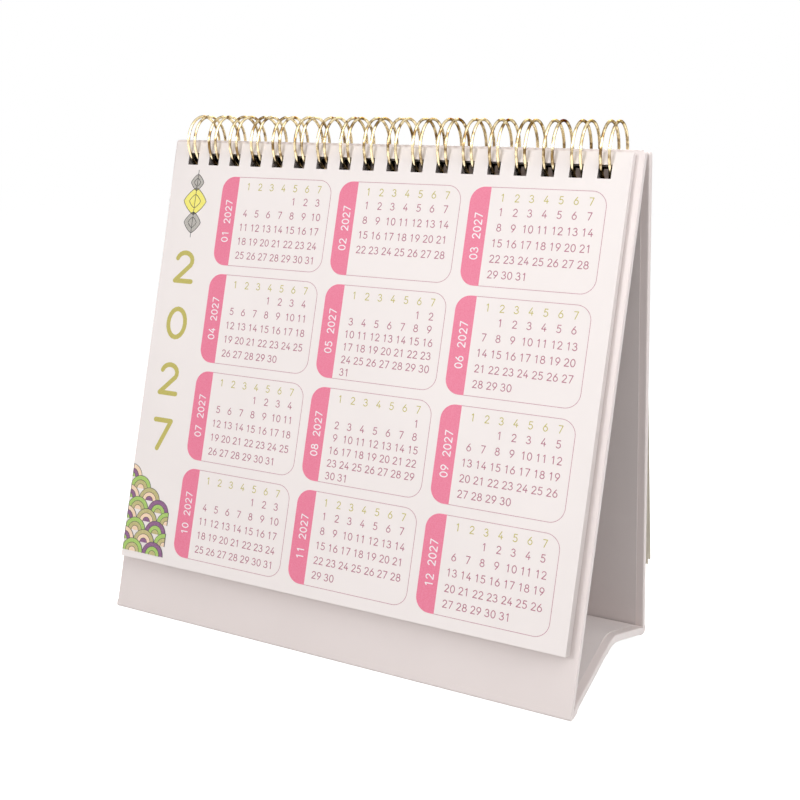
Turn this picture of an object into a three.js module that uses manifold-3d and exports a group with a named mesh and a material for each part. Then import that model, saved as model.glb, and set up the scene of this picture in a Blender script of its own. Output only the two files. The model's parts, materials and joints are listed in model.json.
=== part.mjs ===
// Desk calendar: a folding case of paper-covered boards that stands as an easel, with a
// twin-loop wire binding along its top and square-punched sheets that turn over the wire.
// Millimetres, +Z up, +X to the right and +Y to the rear of someone who reads it.
import * as THREE from 'three';
import { mergeVertices } from 'three/addons/utils/BufferGeometryUtils.js';
import Module from 'manifold-3d';

const wasm = await Module();
wasm.setup();

// Case leaves: a greyboard in a wrapped cover paper, with a lining paper on its inner side
const caseWidth = 164.4;
const leafHeight = 161.2;
const boardThickness = 1.8;
const coverThickness = 0.25;
const liningThickness = 0.2;
const glueGap = 0.1;
const turnIn = 14;
const liningMargin = 2.5;
const liningFootMargin = 1;
const cornerRadius = 1.2;
const edgeRounding = 0.4;

// Stance: each leaf leans away from the upright middle plane, and folds to the closed lean
const openLean = 12.3;
const closedLean = 3;
const leafSpacing = 1.7;

// Feet: the cover paper goes on round the foot, flat on the table, to the base panel
const footBendRadius = 0.8;
const footPaper = 0.3;
const heelBendRadius = 4;
const panelFootLift = 0.45;
const hingeClearance = 0.3;

// Base: two panels that rise to a soft ridge, which folds up between the leaves
const baseSlope = 15.5;
const ridgeBendRadius = 16;
const creaseReach = 5.3;
const ridgeGap = 0.3;

// Sheets
const sheetWidth = 159.2;
const sheetHeight = 142.2;
const sheetThickness = 0.2;
const sheetPitch = 0.28;
const sheetStandOff = 0.3;
const sheetDrop = 1.55;
const frontSheets = 8;
const rearSheets = 5;
const frontSheetSpread = 0.095;
const rearSheetSpread = 1.04;

// Punching, three holes to the inch
const holePitch = 25.4 / 3;
const holeCount = 18;
const holeSize = 4;
const holeInset = 5.65;

// Wire binding
const wireDiameter = 0.9;
const ringInsideDiameter = 16.4;
const loopWidth = 2.6;
const spineBend = 1.2;
const seamGap = 1.2;
const legSteps = 16;
const wireSides = 6;

// How far the cutting shapes reach past what they cut
const cutAllowance = 5;

const leafThickness = liningThickness + 2 * coverThickness + boardThickness + 3 * glueGap;
const innerFace = leafSpacing / 2;
const outerFace = innerFace + leafThickness;
const holeDepth = sheetDrop + holeInset;
const stackDepth = outerFace + sheetStandOff + Math.max(frontSheets, rearSheets) * sheetPitch;
const ringRadius = (ringInsideDiameter + wireDiameter) / 2;
const lean = THREE.MathUtils.degToRad(openLean);
const slope = THREE.MathUtils.degToRad(baseSlope);
const fold = THREE.MathUtils.degToRad(openLean - closedLean);

const holeCentres = Array.from({ length: holeCount }, (_, i) => (i - (holeCount - 1) / 2) * holePitch);

const coverPaper = new THREE.MeshStandardMaterial({ color: 0xf3ecec, roughness: 0.55 });
const liningPaper = new THREE.MeshStandardMaterial({ color: 0xeeeaea, roughness: 0.75 });
const greyboard = new THREE.MeshStandardMaterial({ color: 0xb9b1a5, roughness: 0.9 });
const sheetPaper = new THREE.MeshStandardMaterial({ color: 0xfbf6f6, roughness: 0.7 });
const creamPaper = new THREE.MeshStandardMaterial({ color: 0xf1e7d4, roughness: 0.7 });
const goldWire = new THREE.MeshStandardMaterial({ color: 0xc9a468, roughness: 0.3, metalness: 1 });

// Directions in the side view, as (y, z), for the front half. The rear half is the same
// half turned round. The leaves and sheets all turn about the ring's centre.
const leafDown = new THREE.Vector2(-Math.sin(lean), -Math.cos(lean));
const leafOut = new THREE.Vector2(-Math.cos(lean), Math.sin(lean));
const panelAlong = new THREE.Vector2(Math.cos(slope), Math.sin(slope));
const panelDown = new THREE.Vector2(Math.sin(slope), -Math.cos(slope));

const along = (start, direction, distance) => start.clone().addScaledVector(direction, distance);

const footCornerHeight = footBendRadius * (1 + Math.sin(lean)) + glueGap * Math.cos(lean);
const ringHeight = footCornerHeight + leafHeight * Math.cos(lean) - outerFace * Math.sin(lean);
const ringCentre = new THREE.Vector2(0, ringHeight);
const footCorner = along(along(ringCentre, leafDown, leafHeight), leafOut, outerFace);
const innerFootCorner = along(footCorner, leafOut, -leafThickness);

// The base panel hinges beside the leaf's inner face, level with its own upper face
const hingeHeight = panelFootLift + (hingeClearance + leafThickness) * Math.cos(slope);
const hingeLine = new THREE.Vector2(
  innerFootCorner.x + (hingeHeight - innerFootCorner.y) * Math.tan(lean) + hingeClearance / Math.cos(lean),
  hingeHeight);
const panelCorner = along(hingeLine, panelDown, hingeClearance + leafThickness);
const panelReach = -panelCorner.x / Math.cos(slope);
const panelLength = panelReach - creaseReach;

function solidFrom(geometry) {
  geometry.deleteAttribute('normal');
  geometry.deleteAttribute('uv');
  const merged = mergeVertices(geometry, 1e-5);
  return new wasm.Manifold(new wasm.Mesh({
    numProp: 3, vertProperties: merged.attributes.position.array, triVerts: merged.index.array,
  }));
}

function geometryFrom(solid) {
  const { vertProperties, triVerts } = solid.getMesh();
  const geometry = new THREE.BufferGeometry();
  geometry.setAttribute('position', new THREE.BufferAttribute(vertProperties, 3));
  geometry.setIndex(new THREE.BufferAttribute(triVerts, 1));
  const faceted = geometry.toNonIndexed();
  faceted.computeVertexNormals();
  return faceted;
}

// A rectangle from low to high, with round corners of the given radius at its top only
function sheetShape(width, low, high, radius = 0) {
  const half = width / 2;
  const shape = new THREE.Shape();
  shape.moveTo(-half, low);
  shape.lineTo(half, low);
  if (radius > 0) {
    shape.absarc(half - radius, high - radius, radius, 0, Math.PI / 2);
    shape.absarc(radius - half, high - radius, radius, Math.PI / 2, Math.PI);
  } else {
    shape.lineTo(half, high);
    shape.lineTo(-half, high);
  }
  shape.closePath();
  return shape;
}

function plate(shape, from, thickness) {
  const geometry = new THREE.ExtrudeGeometry(shape, {
    depth: thickness, bevelEnabled: false, curveSegments: 3,
  });
  return geometry.translate(0, 0, from);
}

// The row of square punches, deep enough for every leaf and sheet
function punches() {
  const half = holeSize / 2;
  const outlines = holeCentres.map((centre) => new THREE.Shape([
    new THREE.Vector2(centre - half, -holeDepth - half),
    new THREE.Vector2(centre + half, -holeDepth - half),
    new THREE.Vector2(centre + half, -holeDepth + half),
    new THREE.Vector2(centre - half, -holeDepth + half),
  ]));
  return solidFrom(plate(outlines, 0, stackDepth));
}

const punched = (geometry) => geometryFrom(solidFrom(geometry).subtract(punches()));

// Leaf and panel pieces lie in a frame with Y along the piece and Z out through its cover.
// A leaf has its top at 0, where the paper is turned over the edge, and is punched there.
// A panel is open at both ends and starts at its hinge.
function boardPiece(leaf) {
  const top = leaf.wrapTop ? leaf.high - coverThickness - glueGap : leaf.high;
  const width = caseWidth - 2 * (coverThickness + glueGap);
  const radius = leaf.wrapTop ? cornerRadius - coverThickness : 0;
  const shape = sheetShape(width, leaf.low, top, radius);
  const from = leaf.inner + liningThickness + coverThickness + 2 * glueGap;
  const board = plate(shape, from, boardThickness);
  return leaf.wrapTop ? punched(board) : board;
}

function liningPiece(leaf) {
  const width = caseWidth - 2 * liningMargin;
  const low = leaf.low + (leaf.wrapTop ? liningFootMargin : 0);
  const high = leaf.high - (leaf.wrapTop ? liningMargin : 0);
  const shape = sheetShape(width, low, high);
  const lining = plate(shape, leaf.inner, liningThickness);
  return leaf.wrapTop ? punched(lining) : lining;
}

function coverPiece(leaf) {
  const back = leaf.inner + liningThickness + glueGap;
  const front = leaf.inner + leafThickness;
  const high = leaf.wrapTop ? leaf.high : leaf.high + cutAllowance;
  const outline = sheetShape(caseWidth, leaf.low - cutAllowance, high, leaf.wrapTop ? cornerRadius : 0);
  const wrapped = new THREE.ExtrudeGeometry(outline, {
    depth: front - back - 2 * edgeRounding, bevelThickness: edgeRounding, bevelSize: edgeRounding,
    bevelOffset: -edgeRounding, bevelSegments: 2, curveSegments: 3,
  });
  wrapped.translate(0, 0, back + edgeRounding);

  const pocketTop = leaf.wrapTop ? leaf.high - coverThickness : leaf.high + 2 * cutAllowance;
  const pocketRadius = leaf.wrapTop ? cornerRadius - coverThickness : 0;
  const pocketWidth = caseWidth - 2 * coverThickness;
  const pocket = plate(sheetShape(pocketWidth, leaf.low - 2 * cutAllowance, pocketTop, pocketRadius),
    back + coverThickness, boardThickness + 2 * glueGap);
  const windowTop = leaf.wrapTop ? leaf.high - turnIn : leaf.high + 2 * cutAllowance;
  const opening = plate(sheetShape(caseWidth - 2 * turnIn, leaf.low - 2 * cutAllowance, windowTop),
    back - cutAllowance, cutAllowance + 2 * coverThickness);

  let solid = solidFrom(wrapped).subtract(solidFrom(pocket)).subtract(solidFrom(opening));
  const cut = (low, top) => {
    const strip = sheetShape(caseWidth + 2 * cutAllowance, low, top);
    const block = plate(strip, back - cutAllowance, 4 * cutAllowance);
    solid = solid.subtract(solidFrom(block));
  };
  cut(leaf.low - 2 * cutAllowance, leaf.low);
  if (leaf.wrapTop) {
    solid = solid.subtract(punches());
  } else {
    cut(leaf.high, leaf.high + 2 * cutAllowance);
  }
  return geometryFrom(solid);
}

// A strip across the case's whole width with a closed outline in the side view, as (y, z)
function crossStrip(outline) {
  const shape = new THREE.Shape(outline);
  const geometry = new THREE.ExtrudeGeometry(shape, { depth: caseWidth, bevelEnabled: false });
  geometry.translate(0, 0, -caseWidth / 2);
  return geometry.applyMatrix4(new THREE.Matrix4().makeBasis(
    new THREE.Vector3(0, 1, 0), new THREE.Vector3(0, 0, 1), new THREE.Vector3(1, 0, 0)));
}

// A stretch of bend, as points on a circle about a centre from one angle to another
function bend(centre, radius, from, to, steps) {
  return Array.from({ length: steps + 1 }, (_, i) => {
    const angle = from + (to - from) * i / steps;
    return new THREE.Vector2(centre.x + radius * Math.cos(angle), centre.y + radius * Math.sin(angle));
  });
}

// The foot's paper follows the leaf down, bends to the table, lies flat and bends to the panel
function footPiece() {
  const start = along(footCorner, leafDown, glueGap);
  const toe = along(start, leafOut, -footBendRadius);
  const floorY = panelCorner.x - panelCorner.y / Math.tan(slope);
  const heel = new THREE.Vector2(floorY - heelBendRadius * Math.tan(slope / 2), heelBendRadius);
  const end = along(panelCorner, panelAlong, -glueGap);
  const toeTurn = [Math.PI - lean, 1.5 * Math.PI];
  const heelTurn = [1.5 * Math.PI, 1.5 * Math.PI + slope];
  const outside = [
    ...bend(toe, footBendRadius, ...toeTurn, 4), ...bend(heel, heelBendRadius, ...heelTurn, 2), end];
  const inside = [
    ...bend(toe, footBendRadius - footPaper, ...toeTurn, 4),
    ...bend(heel, heelBendRadius - footPaper, ...heelTurn, 2), along(end, panelDown, -footPaper)];
  return crossStrip([...outside, ...inside.reverse()]);
}

// The ridge's half: the panel goes on past its rigid end and levels out at the middle plane
function ridgePiece() {
  const steps = 4;
  const bendLength = ridgeBendRadius * Math.tan(slope / 2);
  const ridgeLine = panelCorner.y + (panelReach * Math.sin(slope)) - bendLength * Math.tan(slope);
  const centre = new THREE.Vector2(0, ridgeLine - ridgeBendRadius);
  const turn = [Math.PI / 2 + slope, Math.PI / 2 + Math.asin(ridgeGap / 2 / ridgeBendRadius)];
  const start = along(panelCorner, panelAlong, panelLength + glueGap);
  const lower = [start, ...bend(centre, ridgeBendRadius, ...turn, steps)];
  const upper = [along(start, panelDown, -leafThickness),
    ...bend(centre, ridgeBendRadius + leafThickness, ...turn, steps)];
  lower.at(-1).x = -ridgeGap / 2;
  upper.at(-1).x = -ridgeGap / 2;
  return crossStrip([...lower, ...upper.reverse()]);
}

// The wire's centre line, first unrolled: across is x, round is the way along the ring from
// the seam. Each loop goes round to a narrow tip and back, and the spine joins the loops.
function wireLine() {
  const half = loopWidth / 2;
  const spine = seamGap / 2;
  const tip = 2 * Math.PI * ringRadius - seamGap / 2 - half;
  const unrolled = [];
  const leg = (x, from, to) => {
    for (let i = 0; i <= legSteps; i += 1) unrolled.push([x, from + (to - from) * i / legSteps]);
  };
  const arc = (x, round, radius, from, to, steps) => {
    for (let i = 1; i < steps; i += 1) {
      const angle = from + (to - from) * i / steps;
      unrolled.push([x + radius * Math.cos(angle), round + radius * Math.sin(angle)]);
    }
  };
  holeCentres.forEach((centre, i) => {
    const first = i === 0;
    const last = i === holeCount - 1;
    const base = spine + spineBend;
    if (!first) {
      unrolled.push([centre - half - spineBend, spine]);
      arc(centre - half - spineBend, base, spineBend, -Math.PI / 2, 0, 2);
    }
    leg(centre - half, first ? spine : base, tip);
    arc(centre, tip, half, Math.PI, 0, 3);
    leg(centre + half, tip, last ? spine : base);
    if (!last) {
      arc(centre + half + spineBend, base, spineBend, Math.PI, 1.5 * Math.PI, 2);
      unrolled.push([centre + half + spineBend, spine]);
    }
  });
  const seamAngle = -Math.PI / 2 - fold;
  return unrolled.map(([x, round]) => {
    const angle = seamAngle + round / ringRadius;
    return new THREE.Vector3(x, ringCentre.x + ringRadius * Math.cos(angle),
      ringCentre.y + ringRadius * Math.sin(angle));
  });
}

// One closed tube along a line of points, with a ring of corners at each point
function tube(points, radius, sides) {
  const positions = [];
  const indices = [];
  const normal = new THREE.Vector3();
  points.forEach((point, i) => {
    const before = points[Math.max(i - 1, 0)];
    const after = points[Math.min(i + 1, points.length - 1)];
    const tangent = after.clone().sub(before).normalize();
    if (i === 0) normal.set(1, 0, 0);
    normal.addScaledVector(tangent, -normal.dot(tangent)).normalize();
    const binormal = tangent.clone().cross(normal);
    for (let k = 0; k < sides; k += 1) {
      const angle = 2 * Math.PI * k / sides;
      const corner = point.clone().addScaledVector(normal, radius * Math.cos(angle))
        .addScaledVector(binormal, radius * Math.sin(angle));
      positions.push(corner.x, corner.y, corner.z);
      if (i > 0) {
        const here = i * sides + k;
        const next = i * sides + (k + 1) % sides;
        indices.push(here - sides, next - sides, next, here - sides, next, here);
      }
    }
  });
  const end = (points.length - 1) * sides;
  for (let k = 1; k < sides - 1; k += 1) {
    indices.push(0, k + 1, k, end, end + k, end + k + 1);
  }
  const geometry = new THREE.BufferGeometry();
  geometry.setAttribute('position', new THREE.Float32BufferAttribute(positions, 3));
  geometry.setIndex(indices);
  geometry.computeVertexNormals();
  return geometry;
}

// The least gap between stretches of the wire that are not next to each other along it
function leastSelfGap(points, diameter) {
  const step = 0.3;
  const samples = [];
  let travelled = 0;
  points.slice(1).forEach((point, i) => {
    const length = point.distanceTo(points[i]);
    for (let at = 0; at < length; at += step) {
      samples.push({ place: points[i].clone().lerp(point, at / length), travelled: travelled + at });
    }
    travelled += length;
  });
  let least = Infinity;
  samples.forEach((one, i) => {
    for (let j = i + 1; j < samples.length; j += 1) {
      const other = samples[j];
      const apart = other.travelled - one.travelled > 3 * loopWidth;
      const nearby = Math.abs(other.place.x - one.place.x) < 2 * loopWidth;
      if (apart && nearby) least = Math.min(least, other.place.distanceTo(one.place));
    }
  });
  return least - diameter;
}

const calendar = new THREE.Group();

function add(parent, name, geometry, material) {
  const mesh = new THREE.Mesh(geometry, material);
  mesh.name = name;
  parent.add(mesh);
}

// A frame at a place in the side view, with Y turned from level by an angle
function frameAt(parent, place, angle) {
  const frame = new THREE.Group();
  frame.position.set(0, place.x, place.y);
  frame.rotation.x = angle;
  parent.add(frame);
  return frame;
}

function addLeaf(frame, name, leaf) {
  add(frame, `${name}_board`, boardPiece(leaf), greyboard);
  add(frame, `${name}_cover`, coverPiece(leaf), coverPaper);
  add(frame, `${name}_lining`, liningPiece(leaf), liningPaper);
}

function sheetPiece(index) {
  const shape = sheetShape(sheetWidth, -sheetDrop - sheetHeight, -sheetDrop);
  return punched(plate(shape, outerFace + sheetStandOff + index * sheetPitch, sheetThickness));
}

function addHalf(side) {
  const half = new THREE.Group();
  if (side === 'rear') half.rotation.z = Math.PI;
  calendar.add(half);
  const leafFrame = frameAt(half, ringCentre, Math.PI / 2 - lean);
  addLeaf(leafFrame, side, { low: -leafHeight, high: 0, inner: innerFace, wrapTop: true });
  add(half, `${side}_foot`, footPiece(), coverPaper);
  const panelFrame = frameAt(half, hingeLine, Math.PI + slope);
  addLeaf(panelFrame, `base_${side}`,
    { low: -panelLength, high: 0, inner: hingeClearance, wrapTop: false });
  add(half, `base_${side}_ridge`, ridgePiece(), coverPaper);
  return half;
}

const frontHalf = addHalf('front');
const rearHalf = addHalf('rear');

// Sheets stand off their leaf, each a little more than the last, and more so at the rear
function addSheets(half, names, spread, material) {
  names.forEach((name, i) => {
    const turn = THREE.MathUtils.degToRad(spread * (i + 1));
    const frame = frameAt(half, ringCentre, Math.PI / 2 - lean - turn);
    add(frame, name, sheetPiece(i), material);
  });
}

const numbered = (name, count) => Array.from({ length: count }, (_, i) => `${name}_${i + 1}`);
const frontNames = [...numbered('front_page', frontSheets - 1), 'year_page'];
addSheets(frontHalf, frontNames, frontSheetSpread, sheetPaper);
addSheets(rearHalf, numbered('rear_page', rearSheets), rearSheetSpread, creamPaper);

const wire = wireLine();
add(calendar, 'wire_binding', tube(wire, wireDiameter / 2, wireSides), goldWire);
console.log(`wire's least gap to itself ${leastSelfGap(wire, wireDiameter).toFixed(2)} mm`);

// The origin is on the table, under the middle of the whole calendar
const bounds = new THREE.Box3().setFromObject(calendar);
const middle = bounds.getCenter(new THREE.Vector3());
calendar.position.set(-middle.x, -middle.y, -bounds.min.z);
calendar.updateMatrixWorld(true);

export default calendar;
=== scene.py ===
# The looks of a desk calendar: paper-covered case, printed year page and gold twin-loop wire.
import json
import math

import bmesh
import bpy
from mathutils import Matrix, Vector


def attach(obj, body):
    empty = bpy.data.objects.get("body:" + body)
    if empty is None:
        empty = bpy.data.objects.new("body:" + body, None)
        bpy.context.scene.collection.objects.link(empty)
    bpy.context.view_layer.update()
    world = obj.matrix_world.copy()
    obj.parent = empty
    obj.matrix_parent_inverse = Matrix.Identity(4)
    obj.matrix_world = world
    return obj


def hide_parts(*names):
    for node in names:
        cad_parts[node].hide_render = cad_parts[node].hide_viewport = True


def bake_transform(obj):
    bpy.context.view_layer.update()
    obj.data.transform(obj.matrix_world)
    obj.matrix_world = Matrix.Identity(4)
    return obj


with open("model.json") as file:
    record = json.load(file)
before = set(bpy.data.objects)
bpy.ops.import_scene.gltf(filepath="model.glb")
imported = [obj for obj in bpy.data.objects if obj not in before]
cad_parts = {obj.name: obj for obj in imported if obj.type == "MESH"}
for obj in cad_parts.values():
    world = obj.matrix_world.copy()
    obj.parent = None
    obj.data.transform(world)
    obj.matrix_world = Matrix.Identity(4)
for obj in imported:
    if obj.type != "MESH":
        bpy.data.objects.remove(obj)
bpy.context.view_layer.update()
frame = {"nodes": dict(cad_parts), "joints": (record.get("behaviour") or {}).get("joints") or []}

MM = 0.001

# Sizes in millimetres that the frame's nodes also have. The holes' middles lie HOLE_DROP below
# the ring's centre along each leaf, and the wire's seam SEAM_TURN behind its lowest point
PAGE_WIDTH = 159.2
HOLE_PITCH = 25.4 / 3
HOLE_COUNT = 18
HOLE_SIZE = 4
HOLE_DROP = 7.2
HOLE_ALLOWANCE = 0.1
WIRE_DIAMETER = 0.9
RING_RADIUS = 8.65
LOOP_WIDTH = 2.6
SPINE_BEND = 1.2
SEAM_GAP = 1.2
SEAM_TURN = math.radians(9.3)

# The print on the year page, in millimetres, with its places from the sheet's top left corner
MONTH_LEFT = 21.2
MONTH_TOP = 11.2
MONTH_PITCH = (45.1, 32.56)
MONTH_SIZE = (42.1, 29.6)
MONTH_COLUMNS = 3
CORNER_RADIUS = 4.6
TAB_WIDTH = 6.4
OUTLINE_WIDTH = 0.17
DAY_COLUMN = 10.4
DAY_COLUMN_PITCH = 4.52
WEEKDAY_ROW = 3.1
FIRST_DAY_ROW = 7.35
DAY_ROW_PITCH = 4.63
TIGHT_ROW_PITCH = 3.98
DAY_HEIGHT = 2.4
DAY_STROKE = 0.27
TAB_TEXT_HEIGHT = 2.7
TAB_TEXT_STROKE = 0.34
YEAR = "2027"
YEAR_CENTRE = 9.9
YEAR_TOPS = (36.8, 55.9, 74.9, 93.8)
YEAR_HEIGHT = 11.2
YEAR_STROKE = 1.6
INK = 0.012
RUN_STEP = 0.002

# Shares of a size: a tab's width, a numeral's width and a numeral's height
TAB_TEXT_PLACE = 0.55
YEAR_WIDENING = 1.2
TRACKING = 0.24

# Days in each month and the weekday of its first day, with Monday as 0
WEEK = 7
LOOSE_ROWS = 5
MONTHS = ((31, 4), (28, 0), (31, 0), (30, 3), (31, 5), (30, 1),
          (31, 3), (31, 6), (30, 2), (31, 4), (30, 0), (31, 2))


# Places on a leaf of the case

def joint_place(name):
    """Where a joint's axis passes the middle of the calendar, in metres."""
    joint = next(j for j in frame["joints"] if j["name"] == name)
    return Vector(joint["pos_m"])


def widest_normal(node, towards):
    """The normal of a flat piece's widest face, on the side that looks towards a direction."""
    faces = sorted(frame["nodes"][node].data.polygons, key=lambda f: -f.area)
    normal = faces[0].normal.copy()
    return normal if normal.dot(towards) > 0 else -normal


class Leaf:
    """A flat piece's own directions: x across, down from its joint's axis, and out from it."""

    def __init__(self, node, towards, joint="case_fold"):
        self.centre = joint_place(joint)
        self.out = widest_normal(node, towards)
        self.down = Vector((1, 0, 0)).cross(self.out)
        corners = [v.co - self.centre for v in frame["nodes"][node].data.vertices]
        if sum(c.dot(self.down) for c in corners) < 0:
            self.down.negate()
        downs = [c.dot(self.down) / MM for c in corners]
        outs = [c.dot(self.out) / MM for c in corners]
        self.top, self.foot = min(downs), max(downs)
        self.inside, self.surface = min(outs), max(outs)
        self.half_width = max(c.x for c in corners) / MM

    def place(self, across, down, out):
        """A point in metres from millimetres across, down the leaf and out from it."""
        return self.centre + MM * (Vector((across, 0, 0)) + self.down * down + self.out * out)

    def on_page(self, point, height=0):
        """A point from millimetres right of and below the sheet's top left corner."""
        return self.place(point[0] - PAGE_WIDTH / 2, self.top + point[1], self.surface + height)


FRONTWARD = Vector((0, -1, 0))
page = Leaf("year_page", FRONTWARD)
ring_centre = joint_place("case_fold")


# Materials. The scales count noise waves in a metre, and grains and depths are in metres

CLOUD_SCALE = 28
GLOSS_SCALE = 260
DENT_SCALE = 45
SPECKLE_SCALE = 2600
INK_TOOTH_SCALE = 2400
REFLECTION_STREAK_SCALE = 330
POLISH_SCALE = 900
DRAWING_SCALE = 5200
DRAWING_STRETCH = (0.2, 1, 1)
CLOUD_RANGE = (0.3, 0.7)
SPECKLE_RANGE = (0.35, 0.75)
REFLECTION_STREAK_RANGE = (0.38, 0.54)
GLOSS_SPREAD = 0.05
INK_ROUGHNESS = 0.5
METAL_ROUGHNESS = (0.12, 0.24)
PAPER_GRAIN = 0.00002
BOARD_GRAIN = 0.00008
DENT_DEPTH = 0.00012
DRAWING_DEPTH = 0.00001
PAPER_TOOTH = 0.6
DENT_STRENGTH = 0.12
INK_TOOTH = 0.5
DRAWING_STRENGTH = 0.25


def empty_tree(owner):
    """The node tree of a material or world, without its first nodes."""
    owner.use_nodes = True
    owner.node_tree.nodes.clear()
    return owner.node_tree


def new_material(name):
    material = bpy.data.materials.new(name)
    tree = empty_tree(material)
    shader = tree.nodes.new("ShaderNodeBsdfPrincipled")
    output = tree.nodes.new("ShaderNodeOutputMaterial")
    tree.links.new(shader.outputs["BSDF"], output.inputs["Surface"])
    coordinates = tree.nodes.new("ShaderNodeTexCoord")
    return material, tree, shader, coordinates


def noise(tree, coordinates, scale, detail, stretch=(1, 1, 1)):
    """A noise between 0 and 1 in the piece's own space."""
    mapping = tree.nodes.new("ShaderNodeMapping")
    mapping.inputs["Scale"].default_value = stretch
    tree.links.new(coordinates.outputs["Object"], mapping.inputs["Vector"])
    texture = tree.nodes.new("ShaderNodeTexNoise")
    texture.inputs["Scale"].default_value = scale
    texture.inputs["Detail"].default_value = detail
    tree.links.new(mapping.outputs["Vector"], texture.inputs["Vector"])
    return texture.outputs["Fac"]


def ramp(tree, value, places, colours):
    """A colour that goes from one to another as a value passes between two places."""
    node = tree.nodes.new("ShaderNodeValToRGB")
    for element, place, colour in zip(node.color_ramp.elements, places, colours):
        element.position = place
        element.color = (*colour, 1)
    tree.links.new(value, node.inputs["Fac"])
    return node.outputs["Color"]


def span(tree, value, low, high):
    """A value from 0 to 1 stretched to run from low to high."""
    node = tree.nodes.new("ShaderNodeMapRange")
    node.inputs["To Min"].default_value = low
    node.inputs["To Max"].default_value = high
    tree.links.new(value, node.inputs["Value"])
    return node.outputs["Result"]


def bump(tree, shader, value, distance, strength):
    """Adds a relief to those that the shader already has."""
    node = tree.nodes.new("ShaderNodeBump")
    node.inputs["Distance"].default_value = distance
    node.inputs["Strength"].default_value = strength
    tree.links.new(value, node.inputs["Height"])
    if shader.inputs["Normal"].links:
        tree.links.new(shader.inputs["Normal"].links[0].from_socket, node.inputs["Normal"])
    tree.links.new(node.outputs["Normal"], shader.inputs["Normal"])


def paper(name, light, dark, roughness, fibre_scale, grain=PAPER_GRAIN, specular=0.4):
    """Paper with soft clouding, a fine tooth and a slightly uneven gloss."""
    material, tree, shader, coordinates = new_material(name)
    clouds = noise(tree, coordinates, CLOUD_SCALE, detail=4)
    tree.links.new(ramp(tree, clouds, CLOUD_RANGE, (dark, light)), shader.inputs["Base Color"])
    gloss = noise(tree, coordinates, GLOSS_SCALE, detail=2)
    tree.links.new(span(tree, gloss, roughness - GLOSS_SPREAD, roughness + GLOSS_SPREAD),
                   shader.inputs["Roughness"])
    shader.inputs["Specular IOR Level"].default_value = specular
    fibres = noise(tree, coordinates, fibre_scale, detail=5)
    bump(tree, shader, fibres, grain, PAPER_TOOTH)
    dents = noise(tree, coordinates, DENT_SCALE, detail=2)
    bump(tree, shader, dents, DENT_DEPTH, DENT_STRENGTH)
    return material


def ink(name, colour, paler):
    """Printed ink that the paper's tooth breaks up a little."""
    material, tree, shader, coordinates = new_material(name)
    speckle = noise(tree, coordinates, SPECKLE_SCALE, detail=3)
    tree.links.new(ramp(tree, speckle, SPECKLE_RANGE, (colour, paler)), shader.inputs["Base Color"])
    shader.inputs["Roughness"].default_value = INK_ROUGHNESS
    tooth = noise(tree, coordinates, INK_TOOTH_SCALE, detail=4)
    bump(tree, shader, tooth, PAPER_GRAIN, INK_TOOTH)
    return material


def metal(name, light, dark, edge):
    """Plated wire: fine drawing lines, random dark and light streaks in its colour that are painted
    reflections and highlights, a warm gloss and a deeper tone at its edges.
    """
    material, tree, shader, coordinates = new_material(name)
    shader.inputs["Metallic"].default_value = 1
    shader.inputs["Specular Tint"].default_value = (*edge, 1)
    # Painted reflection: random streaks swing the base colour between a bright tone, as painted
    # highlights, and a near-black brown, as painted dark reflections.
    painted_reflection = noise(tree, coordinates, REFLECTION_STREAK_SCALE, detail=3)
    tree.links.new(ramp(tree, painted_reflection, REFLECTION_STREAK_RANGE, (dark, light)), shader.inputs["Base Color"])
    polish = noise(tree, coordinates, POLISH_SCALE, detail=3)
    tree.links.new(span(tree, polish, *METAL_ROUGHNESS), shader.inputs["Roughness"])
    lines = noise(tree, coordinates, DRAWING_SCALE, detail=2, stretch=DRAWING_STRETCH)
    bump(tree, shader, lines, DRAWING_DEPTH, DRAWING_STRENGTH)
    return material


# Each paper's light and dark tone, roughness and fibre scale, and each ink's full and paler tone
COVER = paper("cover_paper", (0.80, 0.72, 0.70), (0.77, 0.69, 0.67), 0.42, 2600)
# The lining is darker than the cover, partly its own greyer tone and partly painted shade for the
# inside of the case.
LINING = paper("lining_paper", (0.74, 0.675, 0.66), (0.71, 0.65, 0.635), 0.6, 2200)
SHEET = paper("sheet_paper", (0.875, 0.81, 0.79), (0.85, 0.785, 0.765), 0.5, 3000)
CREAM = paper("cream_paper", (0.87, 0.81, 0.70), (0.84, 0.775, 0.665), 0.62, 2400)
BOARD = paper("greyboard", (0.42, 0.38, 0.33), (0.30, 0.27, 0.23), 0.85, 1500, BOARD_GRAIN)
# Painted shade: the walls of the punched holes are near black for the shade inside them, though the
# cut paper edge itself is light.
HOLE_WALL_PAINTED_SHADE = paper("hole_wall_painted_shade", (0.012, 0.008, 0.007), (0.008, 0.006, 0.005), 0.9, 2000,
                specular=0)
PINK = ink("pink_ink", (0.78, 0.18, 0.285), (0.81, 0.23, 0.35))
ROSE = ink("rose_ink", (0.45, 0.17, 0.24), (0.56, 0.30, 0.36))
MAUVE = ink("mauve_ink", (0.36, 0.09, 0.15), (0.48, 0.19, 0.26))
OLIVE = ink("olive_ink", (0.48, 0.415, 0.09), (0.55, 0.48, 0.14))
WHITE = ink("white_ink", (0.90, 0.84, 0.86), (0.86, 0.78, 0.81))
GREY = ink("grey_ink", (0.40, 0.37, 0.34), (0.58, 0.55, 0.50))
YELLOW = ink("yellow_ink", (0.88, 0.78, 0.10), (0.90, 0.84, 0.34))
GREEN = ink("green_ink", (0.33, 0.52, 0.10), (0.46, 0.62, 0.20))
KHAKI = ink("khaki_ink", (0.46, 0.40, 0.16), (0.60, 0.54, 0.28))
PEACH = ink("peach_ink", (0.86, 0.60, 0.40), (0.88, 0.72, 0.56))
PURPLE = ink("purple_ink", (0.20, 0.07, 0.18), (0.32, 0.16, 0.30))
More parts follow.
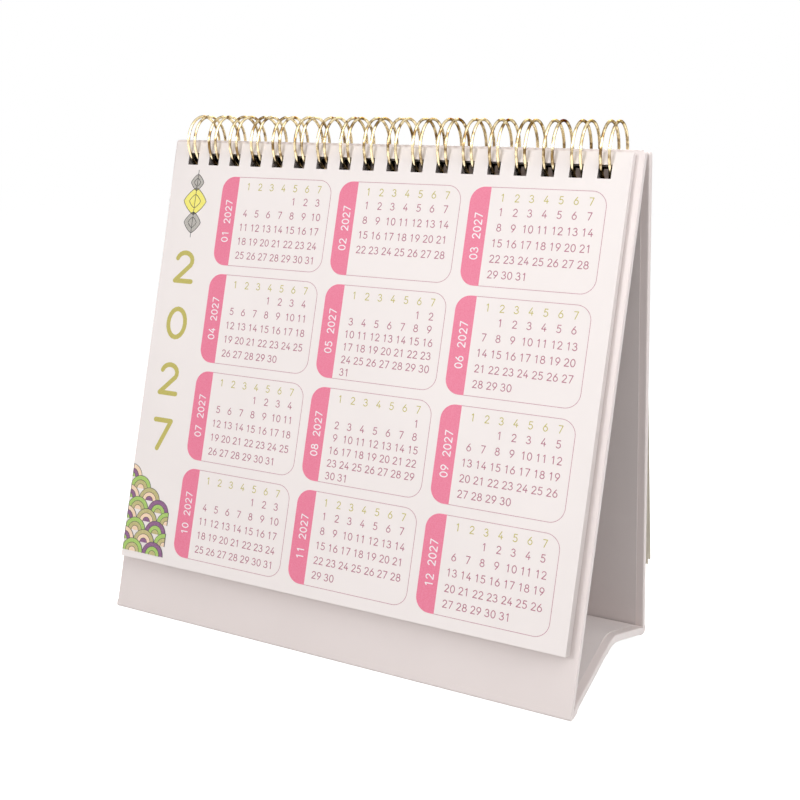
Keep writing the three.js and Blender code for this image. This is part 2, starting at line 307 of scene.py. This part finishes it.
DARK = ink("dark_ink", (0.03, 0.025, 0.03), (0.09, 0.08, 0.08))
# The wire's light tone is a painted highlight and its dark tone a painted dark reflection.
GOLD = metal("gold_wire", (0.88, 0.74, 0.47), (0.24, 0.15, 0.06), (0.12, 0.07, 0.03))


# Meshes

def mesh_piece(name, vertices, faces, material, body=None, smooth=False):
    """An object from points in the frame, with its faces turned outward."""
    mesh = bpy.data.meshes.new(name)
    mesh.from_pydata([tuple(v) for v in vertices], [], faces)
    shape = bmesh.new()
    shape.from_mesh(mesh)
    bmesh.ops.recalc_face_normals(shape, faces=shape.faces)
    shape.to_mesh(mesh)
    shape.free()
    mesh.polygons.foreach_set("use_smooth", [smooth] * len(mesh.polygons))
    piece = bpy.data.objects.new(name, mesh)
    bpy.context.scene.collection.objects.link(piece)
    piece.data.materials.append(material)
    if body:
        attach(piece, body)
    return piece


class Print:
    """Flat printed shapes on the year page, each a thin closed film of ink."""

    def __init__(self, layer=1):
        self.vertices = []
        self.faces = []
        self.height = INK * layer

    def put(self, points, height):
        """Adds points at a height above the page, and gives their numbers."""
        first = len(self.vertices)
        self.vertices += [page.on_page(p, height) for p in points]
        return list(range(first, len(self.vertices)))

    def area(self, outline):
        """A filled outline, given clockwise as the reader sees it."""
        top = self.put(outline, self.height)[::-1]
        low = self.put(outline, 0)[::-1]
        self.faces.append(tuple(top))
        self.faces.append(tuple(low[::-1]))
        for i, corner in enumerate(top):
            j = (i + 1) % len(top)
            self.faces.append((corner, top[j], low[j], low[i]))

    def line(self, points, width, closed=False):
        """A stroke of even width along points, with round ends unless it closes. Where its runs
        meet, they lie at slightly different heights."""
        level = self.height
        for run in [points] if closed else smooth_runs(points):
            self.stroke(run, width, closed)
            self.height += RUN_STEP
        self.height = level

    def stroke(self, points, width, closed):
        """One run of a line, or a line that closes on itself."""
        left, right = sides(points, width / 2, closed)
        if not closed:
            start = cap(points[0], points[1], width / 2)
            end = cap(points[-1], points[-2], width / 2)
            self.area(left + end + right[::-1] + start)
            return
        top_left, top_right = self.put(left, self.height), self.put(right, self.height)
        low_left, low_right = self.put(left, 0), self.put(right, 0)
        count = len(points)
        for i in range(count):
            j = (i + 1) % count
            self.faces.append((top_left[i], top_left[j], top_right[j], top_right[i]))
            self.faces.append((low_left[i], low_right[i], low_right[j], low_left[j]))
            self.faces.append((top_left[i], low_left[i], low_left[j], top_left[j]))
            self.faces.append((top_right[j], low_right[j], low_right[i], top_right[i]))

    def piece(self, name, material):
        return mesh_piece(name, self.vertices, self.faces, material, "year_page")


def unit(a, b):
    """The direction from one point to another."""
    dx, dy = b[0] - a[0], b[1] - a[1]
    length = math.hypot(dx, dy)
    return dx / length, dy / length


def sides(points, half, closed):
    """The two sides of a stroke, left and right of its points."""
    left, right = [], []
    count = len(points)
    for i, point in enumerate(points):
        before = points[(i - 1) % count] if closed or i else point
        after = points[(i + 1) % count] if closed or i < count - 1 else point
        ux, uy = unit(before, after)
        left.append((point[0] + uy * half, point[1] - ux * half))
        right.append((point[0] - uy * half, point[1] + ux * half))
    return left, right


def cap(end, inner, half, steps=5):
    """The round end of a stroke, from its one side to the other."""
    ux, uy = unit(inner, end)
    angles = [math.pi * (i + 1) / (steps + 1) - math.pi / 2 for i in range(steps)]
    return [(end[0] + half * (ux * math.cos(a) - uy * math.sin(a)),
             end[1] + half * (uy * math.cos(a) + ux * math.sin(a))) for a in angles]


SHARPEST_BEND = 40


def smooth_runs(points):
    """Splits a line where it turns by more degrees than that, so that each run bends softly."""
    runs, run = [], [points[0]]
    for i in range(1, len(points)):
        run.append(points[i])
        if i == len(points) - 1:
            break
        a, b = unit(points[i - 1], points[i]), unit(points[i], points[i + 1])
        turn = math.degrees(math.acos(max(-1, min(1, a[0] * b[0] + a[1] * b[1]))))
        if turn > SHARPEST_BEND:
            runs.append(run)
            run = [points[i]]
    runs.append(run)
    return runs


# Numerals: strokes in a box 0.6 wide and 1 high, with y down

def arc(x, y, rx, ry, start, end, steps=10):
    """Points on an ellipse. Angles in degrees run from the right and turn downward."""
    angles = [math.radians(start + (end - start) * i / steps) for i in range(steps + 1)]
    return [(x + rx * math.cos(a), y + ry * math.sin(a)) for a in angles]


def ring(x, y, rx, ry, steps=16):
    """Points round a whole ellipse, without the last one, which is the first."""
    return arc(x, y, rx, ry, 0, 360 - 360 / steps, steps - 1)


NUMERAL_WIDTH = 0.6
NUMERALS = {
    "0": [(ring(0.3, 0.5, 0.3, 0.5, 20), True)],
    "1": [([(0.12, 0.17), (0.33, 0), (0.33, 1)], False)],
    "2": [(arc(0.29, 0.28, 0.27, 0.28, 195, 390) + [(0.02, 1), (0.6, 1)], False)],
    "3": [(arc(0.27, 0.24, 0.24, 0.24, 200, 450)
           + arc(0.27, 0.73, 0.31, 0.27, -90, 155)[1:], False)],
    "4": [([(0.4, 0), (0.0, 0.73), (0.6, 0.73)], False), ([(0.44, 0.48), (0.44, 1)], False)],
    "5": [([(0.53, 0), (0.13, 0), (0.08, 0.43)] + arc(0.27, 0.68, 0.31, 0.32, 232, 505), False)],
    "6": [(ring(0.3, 0.69, 0.29, 0.31), True), ([(0.42, 0), (0.2, 0.28), (0.04, 0.56)], False)],
    "7": [([(0.02, 0), (0.58, 0), (0.2, 1)], False)],
    "8": [(ring(0.3, 0.24, 0.23, 0.235), True), (ring(0.3, 0.73, 0.3, 0.265), True)],
    "9": [(ring(0.3, 0.31, 0.29, 0.31), True), ([(0.18, 1), (0.4, 0.72), (0.56, 0.44)], False)],
}


def numerals(layer, text, centre, height, stroke, upward=False, widening=1):
    """Writes a number about a centre. Upward turns it to read from the bottom up."""
    tall = height - stroke
    wide = tall * widening
    advance = NUMERAL_WIDTH * wide + TRACKING * height
    for i, character in enumerate(text):
        if character == " ":
            continue
        shift = (i - (len(text) - 1) / 2) * advance
        for order, (points, closed) in enumerate(NUMERALS[character]):
            moved = [(shift + (x - NUMERAL_WIDTH / 2) * wide, (y - 0.5) * tall) for x, y in points]
            if upward:
                moved = [(y, -x) for x, y in moved]
            layer.height += RUN_STEP * order / 2
            layer.line([(centre[0] + x, centre[1] + y) for x, y in moved], stroke, closed)
            layer.height -= RUN_STEP * order / 2


# The year page's print

def month_corner(month):
    """The left top corner of a month's frame, in three columns and four rows."""
    return (MONTH_LEFT + MONTH_PITCH[0] * (month % MONTH_COLUMNS),
            MONTH_TOP + MONTH_PITCH[1] * (month // MONTH_COLUMNS))


def month_tab(layer, left, top):
    """The coloured tab down a month's left side, round at its two outer corners."""
    bottom, radius = top + MONTH_SIZE[1], CORNER_RADIUS
    right = left + TAB_WIDTH
    outline = [(right, top), (right, bottom)]
    outline += arc(left + radius, bottom - radius, radius, radius, 90, 180)
    outline += arc(left + radius, top + radius, radius, radius, 180, 270)
    layer.area(outline)


def month_outline(layer, left, top):
    """The thin line round a month's days, from the tab's top to its bottom."""
    bottom, radius, inset = top + MONTH_SIZE[1], CORNER_RADIUS, OUTLINE_WIDTH / 2
    right = left + MONTH_SIZE[0]
    line = [(left + TAB_WIDTH, top + inset)]
    line += arc(right - radius, top + radius, radius - inset, radius - inset, 270, 360)
    line += arc(right - radius, bottom - radius, radius - inset, radius - inset, 0, 90)
    line += [(left + TAB_WIDTH, bottom - inset)]
    layer.line(line, OUTLINE_WIDTH)


def month_days(layer, left, top, days, first):
    """The day numbers in rows of a week. A month of six rows has them closer."""
    rows = math.ceil((first + days) / WEEK)
    pitch = DAY_ROW_PITCH if rows <= LOOSE_ROWS else TIGHT_ROW_PITCH
    for day in range(1, days + 1):
        row, column = divmod(first + day - 1, WEEK)
        centre = (left + DAY_COLUMN + DAY_COLUMN_PITCH * column, top + FIRST_DAY_ROW + pitch * row)
        numerals(layer, str(day), centre, DAY_HEIGHT, DAY_STROKE)


def print_months():
    """The twelve months, as one piece for each ink that they share."""
    tabs, outlines, days, heads, names = Print(), Print(), Print(), Print(), Print(2)
    for month, (count, first) in enumerate(MONTHS):
        left, top = month_corner(month)
        month_tab(tabs, left, top)
        month_outline(outlines, left, top)
        month_days(days, left, top, count, first)
        for weekday in range(WEEK):
            centre = (left + DAY_COLUMN + DAY_COLUMN_PITCH * weekday, top + WEEKDAY_ROW)
            numerals(heads, str(weekday + 1), centre, DAY_HEIGHT, DAY_STROKE)
        centre = (left + TAB_WIDTH * TAB_TEXT_PLACE, top + MONTH_SIZE[1] / 2)
        numerals(names, f"{month + 1:02d} {YEAR}", centre, TAB_TEXT_HEIGHT, TAB_TEXT_STROKE,
                 upward=True)
    tabs.piece("month_tabs", PINK)
    outlines.piece("month_outlines", ROSE)
    days.piece("day_numbers", MAUVE)
    heads.piece("weekday_numbers", OLIVE)
    names.piece("month_numbers", WHITE)


def print_year():
    layer = Print()
    for digit, top in zip(YEAR, YEAR_TOPS):
        centre = (YEAR_CENTRE, top + YEAR_HEIGHT / 2)
        numerals(layer, digit, centre, YEAR_HEIGHT, YEAR_STROKE, widening=YEAR_WIDENING)
    layer.piece("year_numbers", OLIVE)


# Plain ornaments down the page's left side: a string of lozenges and a bank of scales, in
# millimetres. Each lozenge has its middle's way down the page, half its width and half its height

LOZENGES = ((13.6, 2.6, 2.8), (20.0, 4.6, 4.6), (27.2, 3.4, 3.6))
YELLOW_LOZENGE = 1
LOZENGE_CENTRE = 10.6
LOZENGE_STRING = (9.4, 32.2)
LOZENGE_BOW = 0.16
LOZENGE_INNER = 0.5
LOZENGE_STEPS = 6
PEN_WIDTH = 0.22
SCALE_RADIUS = 4.3
SCALE_ROWS = 9
SCALE_FOOT = 139.9
SCALE_RISE = 3.55
SCALE_BANK = (0.4, 17.4)
SCALE_TAPER = 5
SCALE_NARROWING = 0.9
SCALE_COLUMNS = 3
SCALE_BASE_LAYER = 2
SCALE_LAYER = 1.6
SCALE_RINGS = (1, 0.66, 0.34)
SCALE_STEPS = 20
RING_LAYER = 0.4
SCALE_PEN_SHARE = 0.8


def lozenge(x, y, half_width, half_height):
    """A lozenge about a centre, with its four sides bowed outward."""
    corners = [(x, y - half_height), (x + half_width, y), (x, y + half_height), (x - half_width, y)]
    outline = []
    for i, (ax, ay) in enumerate(corners):
        bx, by = corners[(i + 1) % 4]
        for step in range(LOZENGE_STEPS):
            t = step / LOZENGE_STEPS
            swell = 1 + LOZENGE_BOW * 4 * t * (1 - t)
            outline.append((x + ((ax - x) * (1 - t) + (bx - x) * t) * swell,
                            y + ((ay - y) * (1 - t) + (by - y) * t) * swell))
    return outline


def print_lozenges():
    yellow, grey, pen = Print(), Print(), Print(2)
    pen.line([(LOZENGE_CENTRE, end) for end in LOZENGE_STRING], PEN_WIDTH)
    for i, (y, half_width, half_height) in enumerate(LOZENGES):
        fill = yellow if i == YELLOW_LOZENGE else grey
        outline = lozenge(LOZENGE_CENTRE, y, half_width, half_height)
        inner = lozenge(LOZENGE_CENTRE, y, half_width * LOZENGE_INNER, half_height * LOZENGE_INNER)
        fill.area(outline)
        pen.line(outline, PEN_WIDTH, True)
        pen.line(inner, PEN_WIDTH, True)
    yellow.piece("lozenge_yellow", YELLOW)
    grey.piece("lozenge_grey", GREY)
    pen.piece("lozenge_lines", DARK)


def half_disc(x, foot, radius):
    """A half disc that stands on its foot line, clipped at the bank's two sides."""
    low, high = SCALE_BANK
    points = arc(x, foot, radius, radius, 180, 360, SCALE_STEPS)
    return [(min(max(px, low), high), py) for px, py in points]


def scale_centres(row):
    """The middles of a row's scales, which stand between those of the row below."""
    reach = SCALE_BANK[1] - SCALE_RADIUS * SCALE_NARROWING * max(0, row - SCALE_TAPER + 1)
    first = SCALE_RADIUS if row % 2 == 0 else 0
    centres = [first + 2 * SCALE_RADIUS * i for i in range(SCALE_COLUMNS)]
    return [x for x in centres if x < reach]


def print_scales():
    """Rows of scales, the lower in front of the upper, narrowing upward. Neighbours differ in
    colour, and so do a scale's rings."""
    colours = (("scales_green", GREEN), ("scales_khaki", KHAKI), ("scales_peach", PEACH),
               ("scales_purple", PURPLE))
    fills = [[] for _ in colours]
    lines = []
    for row in range(SCALE_ROWS):
        layer = SCALE_BASE_LAYER + SCALE_LAYER * (SCALE_ROWS - 1 - row)
        foot = SCALE_FOOT - SCALE_RISE * row
        for column, x in enumerate(scale_centres(row)):
            choice = (row * 2 + column * 3) % len(colours)
            for ring_number, share in enumerate(SCALE_RINGS):
                outline = half_disc(x, foot, SCALE_RADIUS * share)
                film = Print(layer + RING_LAYER * ring_number)
                film.area(outline)
                fills[(choice + ring_number) % len(colours)].append(film)
                edge = Print(layer + RING_LAYER * ring_number + RING_LAYER / 2)
                edge.line(outline, PEN_WIDTH * SCALE_PEN_SHARE)
                lines.append(edge)
    for (name, material), films in zip(colours, fills):
        joined(films).piece(name, material)
    joined(lines).piece("scales_lines", DARK)


def joined(films):
    """One film from several at their own heights."""
    whole = Print()
    for film in films:
        first = len(whole.vertices)
        whole.vertices += film.vertices
        whole.faces += [tuple(first + i for i in face) for face in film.faces]
    return whole


# The wire: loops round the ring, joined by a spine at the seam

LEG_STEPS = 44
TIP_STEPS = 8
SPINE_STEPS = 6
WIRE_SIDES = 12


def bow(x, y, radius, start, end, steps):
    """Points between the ends of an arc, which are left to the lines it joins."""
    angles = [start + (end - start) * i / steps for i in range(1, steps)]
    return [(x + radius * math.cos(a), y + radius * math.sin(a)) for a in angles]


def leg(x, start, stop):
    """Points along a straight leg of a loop, laid out flat."""
    return [(x, start + (stop - start) * step / LEG_STEPS) for step in range(LEG_STEPS + 1)]


def wire_line():
    """The wire's middle line, laid out flat across and along its way, then bent round the ring."""
    half, spine = LOOP_WIDTH / 2, SEAM_GAP / 2
    base = spine + SPINE_BEND
    tip = 2 * math.pi * RING_RADIUS - SEAM_GAP / 2 - half
    flat = []
    for i in range(HOLE_COUNT):
        centre = (i - (HOLE_COUNT - 1) / 2) * HOLE_PITCH
        start = spine if i == 0 else base
        stop = spine if i == HOLE_COUNT - 1 else base
        if i:
            bend = centre - half - SPINE_BEND
            flat.append((bend, spine))
            flat += bow(bend, base, SPINE_BEND, -math.pi / 2, 0, SPINE_STEPS)
        flat += leg(centre - half, start, tip)
        flat += bow(centre, tip, half, math.pi, 0, TIP_STEPS)
        flat += leg(centre + half, tip, stop)
        if i < HOLE_COUNT - 1:
            bend = centre + half + SPINE_BEND
            flat += bow(bend, base, SPINE_BEND, math.pi, 1.5 * math.pi, SPINE_STEPS)
            flat.append((bend, spine))
    points = []
    for x, way in flat:
        angle = -math.pi / 2 - SEAM_TURN + way / RING_RADIUS
        points.append(Vector((x * MM, ring_centre.y + RING_RADIUS * MM * math.cos(angle),
                              ring_centre.z + RING_RADIUS * MM * math.sin(angle))))
    return points


def tube(points, radius):
    """A closed tube along points, with flat ends."""
    vertices, faces = [], []
    normal = Vector((1, 0, 0))
    for i, point in enumerate(points):
        tangent = (points[min(i + 1, len(points) - 1)] - points[max(i - 1, 0)]).normalized()
        normal = (normal - tangent * normal.dot(tangent)).normalized()
        binormal = tangent.cross(normal)
        for k in range(WIRE_SIDES):
            a = 2 * math.pi * k / WIRE_SIDES
            vertices.append(point + radius * (normal * math.cos(a) + binormal * math.sin(a)))
        if i:
            low, high = (i - 1) * WIRE_SIDES, i * WIRE_SIDES
            for k in range(WIRE_SIDES):
                n = (k + 1) % WIRE_SIDES
                faces.append((low + k, low + n, high + n, high + k))
    faces.append(tuple(range(WIRE_SIDES))[::-1])
    faces.append(tuple(range(len(vertices) - WIRE_SIDES, len(vertices))))
    return vertices, faces


def make_wire():
    """The whole binding as one tube, finer than the node that it replaces."""
    vertices, faces = tube(wire_line(), WIRE_DIAMETER / 2 * MM)
    wire = mesh_piece("gold_wire", vertices, faces, GOLD, "front", smooth=True)
    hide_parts("wire_binding")


# The creases: the cover paper goes on round each foot, and each base panel ends in a soft ridge.
# Sizes are in millimetres

DOWNWARD = Vector((0, 0, -1))
SIDES = {"front": FRONTWARD, "rear": -FRONTWARD}
CREASE_LAP = 1.3
CREASE_BITE = 0.15
CREASE_PAPER = 0.3
CREASE_RISE = 2.2
PROUD = 0.04
TOE_RADIUS = 0.85
HEEL_RADIUS = 4
RIDGE_RADIUS = 16
RIDGE_LAP = 0.6
NOSE_INSET = 0.06
NOSE_STEPS = 12
EDGE_ROUNDING = 0.35


def meets_floor(start, direction):
    """Where a line from a point comes to the table."""
    return start - direction * (start.z / direction.z)


def rounded(corners, radii, steps=12):
    """A line through corners in the side view, with each inner corner rounded."""
    line = [corners[0]]
    for before, corner, after, radius in zip(corners, corners[1:], corners[2:], radii):
        back, ahead = (before - corner).normalized(), (after - corner).normalized()
        half_angle = back.angle(ahead) / 2
        reach = radius * MM / math.tan(half_angle)
        middle = corner + (back + ahead).normalized() * (radius * MM / math.sin(half_angle))
        start, end = corner + back * reach - middle, corner + ahead * reach - middle
        turn = start.angle(end)
        for i in range(steps + 1):
            share = i / steps
            swung = start * math.sin(turn * (1 - share)) + end * math.sin(turn * share)
            line.append(middle + swung / math.sin(turn))
    return line + [corners[-1]]


def shifted(outline, distance):
    """A closed outline in the side view moved sideways, to the left of its way as seen from the
    right."""
    moved = []
    for i, point in enumerate(outline):
        way = (outline[(i + 1) % len(outline)] - outline[i - 1]).normalized()
        moved.append(point + Vector((1, 0, 0)).cross(way) * distance * MM)
    return moved


def strip_piece(name, outline, half_width, material, rounding=0):
    """A strip across the case with a closed outline in the side view, and rounded side edges."""
    corner = rounding * (1 - math.sqrt(0.5))
    left = [(-half_width, rounding)]
    if rounding:
        left += [(corner - half_width, corner), (rounding - half_width, 0)]
    stations = left + [(-x, inset) for x, inset in reversed(left)]
    count = len(outline)
    vertices, faces = [], []
    for x, inset in stations:
        vertices += [p + Vector((x * MM, 0, 0)) for p in shifted(outline, inset)]
    for k in range(len(stations) - 1):
        low, high = k * count, (k + 1) * count
        faces += [(low + i, low + (i + 1) % count, high + (i + 1) % count, high + i)
                  for i in range(count)]
    faces += [tuple(range(count)), tuple(range(len(vertices) - count, len(vertices)))]
    return mesh_piece(name, vertices, faces, material)


def make_crease(side):
    """The paper round a foot, from the leaf's outer side to under the base panel."""
    leaf = Leaf(f"{side}_cover", SIDES[side])
    panel = Leaf(f"base_{side}_cover", DOWNWARD, f"{side}_base_fold")
    from_leaf = leaf.place(0, leaf.foot - CREASE_LAP, leaf.surface + PROUD)
    to_panel = panel.place(0, panel.top + CREASE_LAP, panel.surface + PROUD)
    toe, heel = meets_floor(from_leaf, leaf.down), meets_floor(to_panel, panel.down)
    outer = rounded([from_leaf, toe, heel, to_panel], (TOE_RADIUS, HEEL_RADIUS))
    inward = -CREASE_PAPER
    filling = [
        panel.place(0, panel.top + CREASE_LAP, panel.surface + inward),
        panel.place(0, panel.top + CREASE_BITE, panel.surface + inward),
        panel.place(0, panel.top + CREASE_BITE, panel.inside - inward),
        leaf.place(0, leaf.foot - CREASE_RISE, leaf.inside + CREASE_BITE),
        leaf.place(0, leaf.foot - CREASE_BITE, leaf.inside + CREASE_BITE),
        leaf.place(0, leaf.foot - CREASE_BITE, leaf.surface + inward),
        leaf.place(0, leaf.foot - CREASE_LAP, leaf.surface + inward)]
    crease = strip_piece(f"{side}_crease", outer + filling, leaf.half_width + PROUD, COVER)
    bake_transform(crease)
    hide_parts(f"{side}_foot")


def ridge_level(panel, height, steps=10):
    """A base panel's way on to the middle plane, at a height above its under side."""
    start = panel.place(0, panel.foot - RIDGE_LAP, panel.surface)
    up = -panel.out
    centre = Vector((0, ring_centre.y, 0))
    centre.z = start.z - (RIDGE_RADIUS * MM + (centre.y - start.y) * up.y) / up.z
    radius = (RIDGE_RADIUS + height) * MM
    turns = [up.lerp(-DOWNWARD, i / steps).normalized() for i in range(steps + 1)]
    return [start + up * height * MM] + [centre + turn * radius for turn in turns]


def make_ridge(side):
    """Half of the ridge. Its round nose lies inside the other half, and shows as the base folds."""
    panel = Leaf(f"base_{side}_cover", DOWNWARD, f"{side}_base_fold")
    lining = Leaf(f"base_{side}_lining", DOWNWARD, f"{side}_base_fold")
    body = f"base_{side}"
    thickness = panel.surface - panel.inside
    lower, upper = ridge_level(panel, -PROUD), ridge_level(panel, thickness + PROUD)
    middle = (lower[-1] + upper[-1]) / 2
    radius = (thickness / 2 - NOSE_INSET) * MM
    nose = []
    for i in range(NOSE_STEPS + 1):
        angle = math.radians(-90 + 180 / NOSE_STEPS * i)
        nose.append(middle - SIDES[side] * radius * math.cos(angle)
                    - DOWNWARD * radius * math.sin(angle))
    outline = lower + nose + upper[::-1]
    if side == "rear":
        outline.reverse()
    half_width = panel.half_width + (2 * PROUD if side == "front" else PROUD)
    ridge = strip_piece(f"{side}_ridge", outline, half_width, COVER, EDGE_ROUNDING)
    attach(ridge, body)
    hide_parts(f"{body}_ridge")
    top = ridge_level(panel, panel.surface - lining.inside + PROUD)
    film = top + ridge_level(panel, thickness)[::-1]
    lined = strip_piece(f"{side}_ridge_lining", film, lining.half_width, LINING)
    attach(lined, body)


# The frame's own nodes: each gets its paper, and soft edges on what is folded

WALL_TILT = 0.5
WELD_REACH = 0.000001
MATERIALS = {"board": BOARD, "cover": COVER, "lining": LINING, "foot": COVER, "ridge": COVER,
             "binding": GOLD}


def punch_faces(node):
    """The faces of a leaf's or sheet's mesh that line its punched holes, which get painted shade.
    """
    leaf = Leaf(node.name, FRONTWARD)
    reach = HOLE_SIZE / 2 + HOLE_ALLOWANCE
    found = []
    for face in node.data.polygons:
        place = face.center - leaf.centre
        down = place.dot(leaf.down) / MM - HOLE_DROP
        across = place.x / MM / HOLE_PITCH + (HOLE_COUNT - 1) / 2
        from_hole = abs(across - round(across)) * HOLE_PITCH
        is_wall = abs(face.normal.dot(leaf.out)) < WALL_TILT
        if abs(down) < reach and from_hole < reach and is_wall:
            found.append(face)
    return found


def dress_nodes():
    """Gives each node its material by its name, near-black painted shade on the walls of its holes,
    and soft covers.
    """
    for name, node in frame["nodes"].items():
        if name.startswith("rear_page"):
            material = CREAM
        elif name.endswith("page") or name.startswith("front_page"):
            material = SHEET
        else:
            material = MATERIALS[name.rsplit("_", 1)[1]]
        node.data.materials.clear()
        node.data.materials.append(material)
        # The hole walls of the sheets and leaves get the near-black painted shade.
        if name.endswith("page") or "_page_" in name or name.split("_")[0] in SIDES:
            node.data.materials.append(HOLE_WALL_PAINTED_SHADE)
            for face in punch_faces(node):
                face.material_index = 1
        if material is COVER:
            node.data.polygons.foreach_set("use_smooth", [True] * len(node.data.polygons))
            weld = node.modifiers.new("weld", "WELD")
            weld.merge_threshold = WELD_REACH
            node.modifiers.new("normals", "WEIGHTED_NORMAL")


# The room: a pale floor, soft lamps, and the camera where the photograph was taken from

CAMERA_PLACE = Vector((173.16, -331.53, 151.38)) * MM
CAMERA_TURN = math.radians(27.172)
CAMERA_DIP = math.radians(11.446)
CAMERA_ROLL = math.radians(-1.854)
CAMERA_LENS = 51.57
SENSOR_WIDTH = 36


def make_camera():
    data = bpy.data.cameras.new("camera")
    data.lens = CAMERA_LENS
    data.sensor_width = SENSOR_WIDTH
    camera = bpy.data.objects.new("camera", data)
    bpy.context.scene.collection.objects.link(camera)
    forward = Vector((-math.sin(CAMERA_TURN) * math.cos(CAMERA_DIP),
                      math.cos(CAMERA_TURN) * math.cos(CAMERA_DIP), -math.sin(CAMERA_DIP)))
    level = Vector((math.cos(CAMERA_TURN), math.sin(CAMERA_TURN), 0))
    drop = forward.cross(level)
    right = level * math.cos(CAMERA_ROLL) + drop * math.sin(CAMERA_ROLL)
    down = drop * math.cos(CAMERA_ROLL) - level * math.sin(CAMERA_ROLL)
    camera.matrix_world = Matrix.Translation(CAMERA_PLACE) @ Matrix(
        (right, -down, -forward)).transposed().to_4x4()
    bpy.context.scene.camera = camera


def ray_share(tree):
    """1 for rays from the camera, a mirror or through glass, and 0 for the rest."""
    path = tree.nodes.new("ShaderNodeLightPath")
    total = path.outputs["Is Camera Ray"]
    for kind in ("Is Glossy Ray", "Is Transmission Ray"):
        add = tree.nodes.new("ShaderNodeMath")
        add.operation = "ADD"
        add.use_clamp = True
        tree.links.new(total, add.inputs[0])
        tree.links.new(path.outputs[kind], add.inputs[1])
        total = add.outputs[0]
    return total


FLOOR_COLOUR = (0.62, 0.62, 0.62, 1)
FLOOR_GLOW = 0.9
FLOOR_REACH = 4
WORLD_LIGHT = 0.16


def make_floor():
    material = bpy.data.materials.new("floor")
    tree = empty_tree(material)
    output = tree.nodes.new("ShaderNodeOutputMaterial")
    diffuse = tree.nodes.new("ShaderNodeBsdfDiffuse")
    diffuse.inputs["Color"].default_value = FLOOR_COLOUR
    glow = tree.nodes.new("ShaderNodeEmission")
    strength = tree.nodes.new("ShaderNodeMath")
    strength.operation = "MULTIPLY"
    strength.inputs[1].default_value = FLOOR_GLOW
    tree.links.new(ray_share(tree), strength.inputs[0])
    tree.links.new(strength.outputs[0], glow.inputs["Strength"])
    both = tree.nodes.new("ShaderNodeAddShader")
    tree.links.new(diffuse.outputs[0], both.inputs[0])
    tree.links.new(glow.outputs[0], both.inputs[1])
    tree.links.new(both.outputs[0], output.inputs["Surface"])
    mesh = bpy.data.meshes.new("floor")
    ways = ((-1, -1), (1, -1), (1, 1), (-1, 1))
    corners = [(x * FLOOR_REACH, y * FLOOR_REACH, 0) for x, y in ways]
    mesh.from_pydata(corners, [], [(0, 1, 2, 3)])
    mesh.materials.append(material)
    floor = bpy.data.objects.new("floor", mesh)
    bpy.context.scene.collection.objects.link(floor)


def make_world():
    world = bpy.data.worlds.new("world")
    bpy.context.scene.world = world
    tree = empty_tree(world)
    output = tree.nodes.new("ShaderNodeOutputWorld")
    background = tree.nodes.new("ShaderNodeBackground")
    background.inputs["Color"].default_value = (1, 1, 1, 1)
    strength = tree.nodes.new("ShaderNodeMapRange")
    strength.inputs["To Min"].default_value = WORLD_LIGHT
    strength.inputs["To Max"].default_value = 1
    tree.links.new(ray_share(tree), strength.inputs["Value"])
    tree.links.new(strength.outputs["Result"], background.inputs["Strength"])
    tree.links.new(background.outputs[0], output.inputs["Surface"])


# Each lamp's place and size in metres, power in watts and spread in degrees
LAMP_AIM = (0, 0, 0.08)
LAMPS = {
    "key_lamp": ((-0.18, -0.8, 0.38), 0.18, 2.5, 180),
    "high_lamp": ((0.2, -0.45, 0.62), 0.6, 2.1, 180),
    "top_lamp": ((0.33, -0.04, 0.47), 0.25, 0.4, 180),
    "edge_lamp": ((0.6, -0.1, 0.35), 0.3, 1.3, 180),
    "left_lamp": ((-0.7, 0.05, 0.15), 0.3, 0.9, 180),
    "back_lamp": ((-0.12, 0.7, 0.5), 0.4, 0.48, 45),
}


def make_lamps():
    for name, (place, size, power, spread) in LAMPS.items():
        data = bpy.data.lights.new(name, "AREA")
        data.size = size
        data.energy = power
        data.spread = math.radians(spread)
        lamp = bpy.data.objects.new(name, data)
        bpy.context.scene.collection.objects.link(lamp)
        lamp.location = place
        lamp.rotation_euler = (Vector(LAMP_AIM) - Vector(place)).to_track_quat("-Z", "Y").to_euler()


dress_nodes()
print_months()
print_year()
print_lozenges()
print_scales()
for side in SIDES:
    make_crease(side)
    make_ridge(side)
make_wire()
make_camera()
make_floor()
make_world()
make_lamps()

scene = bpy.context.scene
scene.view_settings.view_transform = "Standard"
